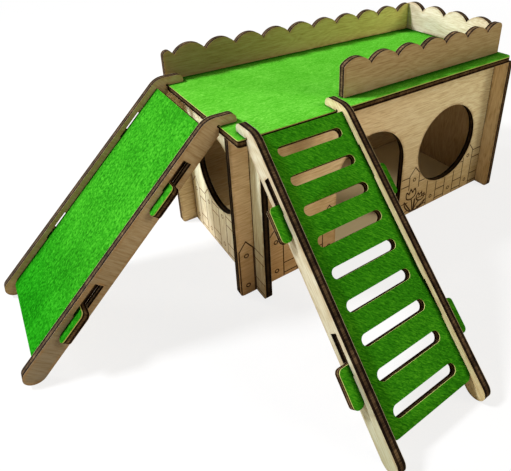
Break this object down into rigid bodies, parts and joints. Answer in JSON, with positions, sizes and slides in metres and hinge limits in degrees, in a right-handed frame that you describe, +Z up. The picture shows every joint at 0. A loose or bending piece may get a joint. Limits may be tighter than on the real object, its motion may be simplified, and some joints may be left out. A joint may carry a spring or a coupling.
{
  "type": "small animal castle",
  "caption": "Plywood play house for small pets: crossed walls with a round window, an arched door and a side hole, a green deck with scalloped parapets, a hooked ramp and a slotted ladder.",
  "frame": {"origin": "on the floor, under the middle of the whole object's bounding box", "axes": "+X along the house, away from the ramp; -Y towards the ladder and the front wall; +Z up"},
  "size_m": [0.3178, 0.2078, 0.1212],
  "materials": {
    "natural_ply": "bare plywood with laser-burnt edges",
    "green_deck": "plywood stained green on top, bare below",
    "green_ramp": "plywood stained green on top, bare below",
    "green_ladder": "plywood stained green on top, bare below"
  },
  "bodies": {
    "house": {"front_wall": "natural_ply", "rear_wall": "natural_ply", "left_wall": "natural_ply", "right_wall": "natural_ply"},
    "roof": {"deck": "green_deck", "front_parapet": "natural_ply", "rear_parapet": "natural_ply", "right_parapet": "natural_ply"},
    "ramp": {"ramp_board": "green_ramp", "ramp_front_rail": "natural_ply", "ramp_rear_rail": "natural_ply"},
    "ladder": {"ladder_board": "green_ladder", "ladder_left_rail": "natural_ply", "ladder_right_rail": "natural_ply"}
  },
  "joints": [
    {"name": "roof_lift", "type": "slide", "parent": "house", "child": "roof", "axis": [0, 0, 1], "range_m": [0, 0.06]},
    {"name": "ramp_unhook", "type": "slide", "parent": "roof", "child": "ramp", "axis": [-0.7071, 0, 0.7071], "range_m": [0, 0.04]},
    {"name": "ladder_unhook", "type": "slide", "parent": "roof", "child": "ladder", "axis": [0, -0.7071, 0.7071], "range_m": [0, 0.04]}
  ]
}
